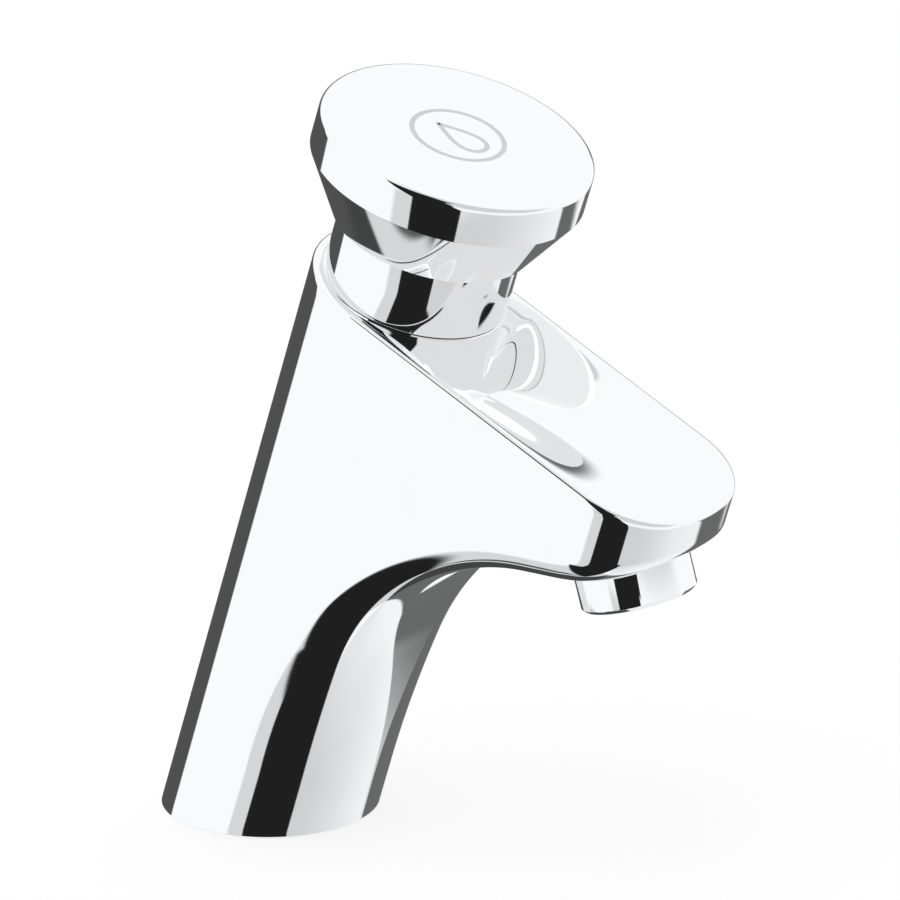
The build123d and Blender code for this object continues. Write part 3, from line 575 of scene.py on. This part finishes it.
belly_x, belly_w = drawn_in(outer_x, outer_w, outlet_w, outlet_hole, 14)
casting_parts.append(in_place(belly_x, belly_w, belly_at(belly_w)))
hole_x, hole_w, level_in = belly_x[-1], belly_w[-1], 0.0 * belly_x[-1]
casting_parts.append(in_place(
    np.stack([hole_x, hole_x, level_in]),
    np.stack([hole_w, hole_w + well_shift, level_in + outlet_w + well_shift]),
    np.stack([belly_at(hole_w), level_in + well_top, level_in + well_top]),
))

# The outlet's boss: a short tube round the tilted outlet, with a fine round edge below.
outlet_tilt = radians(14.5)
mouth_y, mouth_z = -104.0, 67.6
boss_inner, boss_outer, boss_low, boss_high, boss_round = 11.05, 12.6, 8.75, 13.2, 0.3


def at_outlet(radius, height):
    """Rings of points round the outlet's tilted axis, from radii and heights above its mouth."""
    turns = np.linspace(0.0, 2.0 * pi, 145)
    radius, height = np.asarray(radius)[:, None], np.asarray(height)[:, None] + 0.0 * turns
    side, ahead_of = radius * np.cos(turns), radius * np.sin(turns)
    return 0.001 * np.stack([
        side,
        mouth_y + ahead_of * cos(outlet_tilt) + height * sin(outlet_tilt),
        mouth_z - ahead_of * sin(outlet_tilt) + height * cos(outlet_tilt),
    ], -1)


boss_edge = np.linspace(0.0, pi / 2, 5)
edge_radius = boss_outer - boss_round + boss_round * np.sin(boss_edge)
edge_height = boss_low + boss_round - boss_round * np.cos(boss_edge)
casting_parts.append(at_outlet(
    [boss_inner, *edge_radius, boss_outer, boss_inner, boss_inner],
    [boss_low, *edge_height, boss_high, boss_high, boss_low],
))

# The rim: all round the outline the wall turns inward on a quarter circle.
cheek_top = top_w[shoulder_row:-1, 0]
straight = 0.0 * cheek_top
rim_x = np.concatenate([straight - half_width, tip_x, straight + half_width, back_x[1:]])
rim_w = np.concatenate([cheek_top, tip_top_w, cheek_top[::-1], back_w[1:]])
rim_nx = np.concatenate([straight - 1.0, tip_normal_x, straight + 1.0, np.cos(around[1:])])
rim_nw = np.concatenate([straight, tip_normal_w, straight, np.sin(around[1:])])
turn_in = np.linspace(0.0, pi / 2, 9)[:, None]
round_x = rim_x - rim_round * rim_nx * (1.0 - np.cos(turn_in))
round_w = rim_w - rim_round * rim_nw * (1.0 - np.cos(turn_in))
land = rim_at(round_w[-1]) - top_at(round_x[-1], round_w[-1])
round_s = rim_at(round_w) - rim_round * (1.0 - np.sin(turn_in)) - land * np.sin(turn_in) ** 2
casting_parts.append(in_place(round_x, round_w, round_s))

# The scooped top and the ledge round the neck, drawn in from the rim to the neck's circle. Behind
# the sleeve the ledge stands above the sleeve's foot, with a thin gap and a rounded edge.
far = np.hypot(round_x[-1], round_w[-1])
ahead = np.clip((0.5 - round_w[-1] / far * neck_radius) / 2.0, 0.0, 1.0)
ring_radius = neck_radius + sleeve_gap * (1.0 - ahead)
ring_x, ring_w = round_x[-1] / far * ring_radius, round_w[-1] / far * ring_radius
length = np.hypot(round_x[-1] - ring_x, round_w[-1] - ring_w)
inner_edge = 0.5
fine_steps = np.array([1.0, 0.8, 0.6, 0.4, 0.22, 0.1, 0.0])[:, None] * inner_edge / length
wide_steps = 1.0 - np.linspace(0.0, 1.0, 37)[:-1, None] * (1.0 - inner_edge / length)
steps_in = np.concatenate([wide_steps, fine_steps])
top_x = ring_x + (round_x[-1] - ring_x) * steps_in
top_plan_w = ring_w + (round_w[-1] - ring_w) * steps_in
to_ring = np.clip(inner_edge - steps_in * length, 0.0, inner_edge)
worn = inner_edge - np.sqrt(inner_edge**2 - to_ring**2)
scooped_s = top_at(top_x, top_plan_w) - worn * (1.0 - ahead)
casting_parts.append(in_place(top_x, top_plan_w, scooped_s))

# The neck rises from the scoop to its flat top, broken by a fine edge, and is bored for the sleeve.
front_edge, back_edge = 0.22, 0.6
seam_edge = front_edge * ahead + back_edge * (1.0 - ahead)
up = np.linspace(0.0, 1.0, 11)[:, None]
neck_s = scooped_s[-1] + (neck_top - seam_edge - scooped_s[-1]) * up
casting_parts.append(in_place(ring_x + 0.0 * up, ring_w + 0.0 * up, neck_s))
bore_wide, bore_step, chamber_wide, chamber_foot = 17.0, 110.0, 14.0, 72.0
bore = np.array([1.0, 0.0, 0.0, 0.0, 0.0, 0.0])[:, None]
bore_radius = np.array([0.0, bore_wide, bore_wide, chamber_wide, chamber_wide, 0.0])[:, None]
bore_radius = bore_radius + bore * (ring_radius - seam_edge)
bore_s = np.array([neck_top, neck_top, bore_step, bore_step, chamber_foot, chamber_foot])[:, None]
unit_x, unit_w = ring_x / ring_radius, ring_w / ring_radius
casting_parts.append(in_place(
    np.stack([ring_x, *(unit_x * bore_radius)]), np.stack([ring_w, *(unit_w * bore_radius)]),
    np.concatenate([neck_s[-1:], bore_s + 0.0 * ring_x]),
))

# The foot's underside: a groove for the seal, the port for the hose and the hole for the bolt.
foot_x = np.concatenate([
    front_x[0], 0.0 * share[1:-1] + half_width, back_x, 0.0 * share[1:-1] - half_width, front_x[0, :1]
])
foot_w = np.concatenate([
    front_w[0], cheek_w[0, 1:-1], back_w, cheek_w[0, 1:-1][::-1], front_w[0, :1]
])
foot_y = foot_w / cos(lean)
split = 1.25
turns_round = np.arctan2(foot_y, foot_x)
groove_outer, groove_inner, groove_depth = 21.6, 18.9, 2.05
for corner_angle in (np.arcsin(split / groove_inner), pi - np.arcsin(split / groove_inner)):
    turns_round[np.argmin(np.abs(turns_round - corner_angle))] = corner_angle
foot_radius = np.array([groove_outer, groove_outer, groove_inner, groove_inner])[:, None]
foot_z = np.array([0.0, 0.0, groove_depth, groove_depth, 0.0])[:, None]
under = np.stack([
    np.concatenate([foot_x[None], foot_radius * np.cos(turns_round)]),
    np.concatenate([foot_y[None], foot_radius * np.sin(turns_round)]),
    foot_z + 0.0 * foot_x,
], -1)
casting_parts.append(under * 0.001)
disc_x, disc_y = groove_inner * np.cos(turns_round), groove_inner * np.sin(turns_round)
hose_port, bolt_hole = (-9.5, 7.6, 14.0, -1.0), (12.0, 3.4, 14.0, 1.0)
for hole_y, hole_radius, hole_depth, facing in (hose_port, bolt_hole):
    kept = facing * (disc_y - split) > -1e-9
    order = np.argsort(np.mod(turns_round[kept] + facing * pi / 2, 2 * pi))
    part_x, part_y = disc_x[kept][order], disc_y[kept][order]
    line_x = np.linspace(part_x[-1], part_x[0], 25)[1:]
    part_x = np.concatenate([part_x, line_x])
    part_y = np.concatenate([part_y, 0.0 * line_x + split])
    plate_x, plate_y = drawn_in(part_x, part_y, hole_y, hole_radius, 4)
    bottom = 0.0 * part_x[None]
    casting_parts.append(0.001 * np.stack([
        np.concatenate([plate_x, plate_x[-1:], bottom]),
        np.concatenate([plate_y, plate_y[-1:], bottom + hole_y]),
        np.concatenate([0.0 * plate_x, bottom + hole_depth, bottom + hole_depth]),
    ], -1))


def joined(name, parts, wrap=False):
    """One mesh from several grids of points: shared borders are merged, faces are turned outward,
    and edges sharper than 32 degrees stay crisp."""
    pieces = bmesh.new()
    for number, points in enumerate(parts):
        patch = sheet_mesh(name + str(number), points, closed=wrap)
        pieces.from_mesh(patch.data)
        old = patch.data
        bpy.data.objects.remove(patch)
        bpy.data.meshes.remove(old)
    bmesh.ops.remove_doubles(pieces, verts=pieces.verts, dist=2e-6)
    bmesh.ops.dissolve_degenerate(pieces, edges=pieces.edges, dist=1e-7)
    bmesh.ops.recalc_face_normals(pieces, faces=pieces.faces)
    mesh = bpy.data.meshes.new(name)
    pieces.to_mesh(mesh)
    pieces.free()
    mesh.polygons.foreach_set("use_smooth", np.ones(len(mesh.polygons), bool))
    mesh.set_sharp_from_angle(angle=radians(32))
    made = bpy.data.objects.new(name, mesh)
    bpy.context.scene.collection.objects.link(made)
    return made


casting = joined("chromed_casting", casting_parts)
casting.data.materials.append(chrome)
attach(casting, "tap")
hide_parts("body_casting")


# The neck's sleeve is a chromed brass tube that stands on the casting's neck. The button slides
# down over it, and the timing cylinder hangs below it inside. The narrow seam between the two is
# painted near black: dull brass, darkened to stand in for the shade in the gap as painted shade.
def turned_about(radius, height, cells):
    """A surface turned about the leaning axis: the outline's radii and heights along the axis are
    swept once round, in millimetres."""
    turns = np.linspace(0.0, 2.0 * pi, cells + 1)[:-1]
    radius, height = np.asarray(radius)[:, None], np.asarray(height)[:, None]
    return in_place(radius * np.cos(turns), radius * np.sin(turns), height)


def softened(corners, rounds, cells=6):
    """An outline of (radius, height) corners with each corner cut by a circular arc of its own
    radius, tangent to both of its sides."""
    corners = np.asarray(corners, float)
    outline = []
    befores, afters = np.roll(corners, 1, 0), np.roll(corners, -1, 0)
    for before, here, after, size in zip(befores, corners, afters, rounds):
        back, on = before - here, after - here
        back, on = back / max(np.hypot(*back), 1e-9), on / max(np.hypot(*on), 1e-9)
        half_turn = np.arccos(np.clip(back @ on, -1.0, 1.0)) / 2.0
        if size <= 0.0 or half_turn > 1.55:
            outline.append(here[None])
            continue
        reach = size / np.tan(half_turn)
        middle = here + (back + on) / np.hypot(*(back + on)) * size / np.sin(half_turn)
        first, last = here + back * reach - middle, here + on * reach - middle
        whole = pi - 2.0 * half_turn
        part = np.linspace(0.0, 1.0, cells + 1)[:, None]
        arc = (np.sin((1.0 - part) * whole) * first + np.sin(part * whole) * last) / np.sin(whole)
        outline.append(middle + arc)
    return np.concatenate(outline).T


sleeve_outline = softened(
    [(17.0, 137.0), (20.2, 137.0), (20.2, 137.4), (20.8, 137.4), (20.8, 158.0), (18.3, 158.0),
     (18.3, 145.0), (8.0, 145.0), (8.0, 137.0), (7.0, 137.0), (7.0, 134.0), (13.0, 134.0),
     (13.0, 112.5), (16.85, 112.5)],
    [0.0, 0.0, 0.0, 0.1, 0.3, 0.3, 0.0, 0.2, 0.0, 0.0, 0.0, 0.0, 0.2, 0.2],
)
sleeve_points = turned_about(*np.append(sleeve_outline, sleeve_outline[:, :1], 1), 192)
sleeve = joined("chromed_sleeve", [sleeve_points], wrap=True)
sleeve.data.materials.append(chrome)
seam_shade_finish, seam_shade_shader = marked_finish(
    "seam_brass_with_painted_shade", (600.0, 600.0, 600.0), (0.06, 0.055, 0.05), (0.03, 0.028, 0.026),
    0.6, 0.9
)[:2]
seam_shade_shader.inputs["Specular IOR Level"].default_value = 0.2
sleeve.data.materials.append(seam_shade_finish)
# Painted shade: the faces inside the seam's gap take the near-black dull brass finish.
seam_low, seam_high, seam_inner, seam_outer = 136.9, 137.45, 17.2, 20.72
middles = np.empty(len(sleeve.data.polygons) * 3)
sleeve.data.polygons.foreach_get("center", middles)
middles = middles.reshape(-1, 3) * 1000.0
height_along = middles[:, 2] * cos(lean) - middles[:, 1] * sin(lean)
from_axis = np.hypot(middles[:, 0], middles[:, 1] * cos(lean) + middles[:, 2] * sin(lean))
in_painted_seam_shade = (height_along > seam_low) & (height_along < seam_high)
in_painted_seam_shade &= (from_axis > seam_inner) & (from_axis < seam_outer)
sleeve.data.polygons.foreach_set("material_index", in_painted_seam_shade.astype(np.int32))
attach(sleeve, "tap")
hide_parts("neck_sleeve")


# The push button is a chromed brass shell: a flat disc with a fine round edge, a short band, and a
# cone that narrows to the lip round the sleeve. It moves on a hub screwed up inside it.
button_outline = softened(
    [(0.0, 176.7), (31.0, 176.7), (31.0, 167.4), (22.45, 152.8), (21.15, 152.8), (21.15, 153.4),
     (29.4, 167.5), (29.4, 173.7), (0.0, 173.7)],
    [0.0, 1.4, 0.25, 0.2, 0.3, 0.0, 0.3, 0.3, 0.0],
    cells=10,
)
button = joined("chromed_button", [turned_about(*button_outline, 256)], wrap=True)
# The button's chrome shows the painted glow to every ray that has already been mirrored once.
button.data.materials.append(chrome_finish("button_chrome_plate", 0.5))
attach(button, "button")
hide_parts("push_button")


# The outlet ring is a chromed brass ring, screwed into the spout's boss. It holds the insert, the
# screen and the washer, and has a small lip round its mouth.
ring_outline = softened(
    [(9.5, 0.0), (12.25, 0.0), (13.05, 0.8), (13.05, 8.7), (11.0, 8.7), (11.0, 13.3), (10.4, 13.3),
     (10.4, 2.0), (9.5, 2.0)],
    [0.3, 0.25, 0.25, 0.25, 0.0, 0.2, 0.2, 0.0, 0.2],
)
ring_points = at_outlet(*np.append(ring_outline, ring_outline[:, :1], 1))
outlet_ring = joined("chromed_outlet_ring", [ring_points])
outlet_ring.data.materials.append(chrome)
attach(outlet_ring, "tap")
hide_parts("aerator_housing")


# A light grey etched mark lies on the button's top: a plain water drop inside a ring, each drawn as
# one line. Etching leaves the chrome matt, a shade darker.
def etched_line(across, to_back, width):
    """A thin closed line of a given width round a closed curve on the button's top: the curve's
    points are shifted to both sides along their normals."""
    step_across = np.roll(across, -1) - np.roll(across, 1)
    step_back = np.roll(to_back, -1) - np.roll(to_back, 1)
    length = np.hypot(step_across, step_back)
    shift = width / 2.0 * np.array([-1.0, 1.0, 1.0, -1.0, -1.0])[:, None]
    height = mark_foot + mark_thickness * np.array([0.0, 0.0, 1.0, 1.0, 0.0])[:, None]
    return in_place(across - shift * step_back / length, to_back + shift * step_across / length, height)


mark_foot, mark_thickness, mark_width, mark_ring = 176.695, 0.02, 1.15, 10.4
drop_wide, drop_long, drop_shift, drop_taper = 4.9, 6.4, 0.8, 1.4
mark_turn = np.linspace(0.0, 2.0 * pi, 193)[:-1]
drop_across = drop_wide * np.sin(mark_turn) * np.sin(mark_turn / 2.0) ** drop_taper
drop_back = drop_shift - drop_long * np.cos(mark_turn)
mark = joined("etched_mark", [
    etched_line(drop_across, -drop_back, mark_width),
    etched_line(mark_ring * np.cos(mark_turn), mark_ring * np.sin(mark_turn), mark_width),
], wrap=True)
mark_finish, mark_shader = marked_finish(
    "etched_satin", (900.0, 900.0, 900.0), (0.66, 0.67, 0.68), (0.58, 0.59, 0.6), 0.45, 0.65
)[:2]
mark_shader.inputs["Metallic"].default_value = 0.25
mark.data.materials.append(mark_finish)
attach(mark, "button")


# The working pieces inside keep their shapes from the drawing. Each gets the finish of its own
# material: turned or nickelled brass, drawn or stamped steel, moulded rubber, acetal, grey plastic.
def inner_finish(name, metallic, light, dark, gloss, stretch, turn, depth):
    """A finish whose colour, gloss and fine relief follow one pattern of marks."""
    finish, shader, marks = marked_finish(name, stretch, light, dark, *gloss)
    shader.inputs["Metallic"].default_value = metallic
    marks.inputs["Turn"].default_value = turn
    relief = finish.node_tree.nodes.new("ShaderNodeBump")
    relief.inputs["Distance"].default_value = depth
    relief.inputs["Strength"].default_value = 0.6
    finish.node_tree.links.new(marks.outputs["Height"], relief.inputs["Height"])
    finish.node_tree.links.new(relief.outputs["Normal"], shader.inputs["Normal"])
    return finish


turned_lines, metal, plastic = (40.0, 40.0, 2600.0), 1.0, 0.0
along_lean, upright_axis = (lean, 0.0, 0.0), (0.0, 0.0, 0.0)
inner_looks = {
    "turned_brass": (
        metal, (0.76, 0.61, 0.34), (0.62, 0.47, 0.24), (0.22, 0.4), turned_lines, along_lean, 2e-5
    ),
    "nickelled_brass": (
        metal, (0.8, 0.79, 0.77), (0.7, 0.69, 0.67), (0.18, 0.34), turned_lines, along_lean, 1e-5
    ),
    "drawn_steel": (
        metal, (0.7, 0.7, 0.71), (0.56, 0.56, 0.57), (0.2, 0.38), turned_lines, along_lean, 1e-5
    ),
    "stamped_steel": (
        metal, (0.7, 0.7, 0.71), (0.6, 0.6, 0.61), (0.25, 0.42), (700.0,) * 3, upright_axis, 1e-5
    ),
    "moulded_rubber": (
        plastic, (0.062, 0.062, 0.066), (0.036, 0.036, 0.04), (0.55, 0.8), (1100.0,) * 3,
        upright_axis, 2e-5
    ),
    "moulded_acetal": (
        plastic, (0.88, 0.87, 0.82), (0.82, 0.81, 0.76), (0.35, 0.5), (500.0,) * 3, along_lean, 1e-5
    ),
    "moulded_grey": (
        plastic, (0.45, 0.46, 0.48), (0.37, 0.38, 0.4), (0.4, 0.58), (800.0,) * 3,
        upright_axis, 1.5e-5
    ),
}
inner_pieces = {
    "turned_brass": ("cartridge_body", "washer_cup", "valve_nut"),
    "nickelled_brass": ("button_hub",),
    "drawn_steel": ("metering_pin", "hub_screw", "push_stem", "piston_clip", "return_spring"),
    "stamped_steel": ("inlet_filter", "aerator_screen"),
    "moulded_rubber": ("base_seal", "stem_seal", "cartridge_lower_seal", "cartridge_upper_seal",
                       "neck_seal", "aerator_washer", "piston_seal", "valve_washer"),
    "moulded_acetal": ("guide_bush", "piston"),
    "moulded_grey": ("aerator_insert", "flow_regulator"),
}
for look, pieces in inner_pieces.items():
    finish = inner_finish(look, *inner_looks[look])
    for piece in pieces:
        nodes[piece].data.materials.clear()
        nodes[piece].data.materials.append(finish)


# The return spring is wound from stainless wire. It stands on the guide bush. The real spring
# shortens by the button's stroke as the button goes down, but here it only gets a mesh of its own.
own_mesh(nodes["return_spring"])
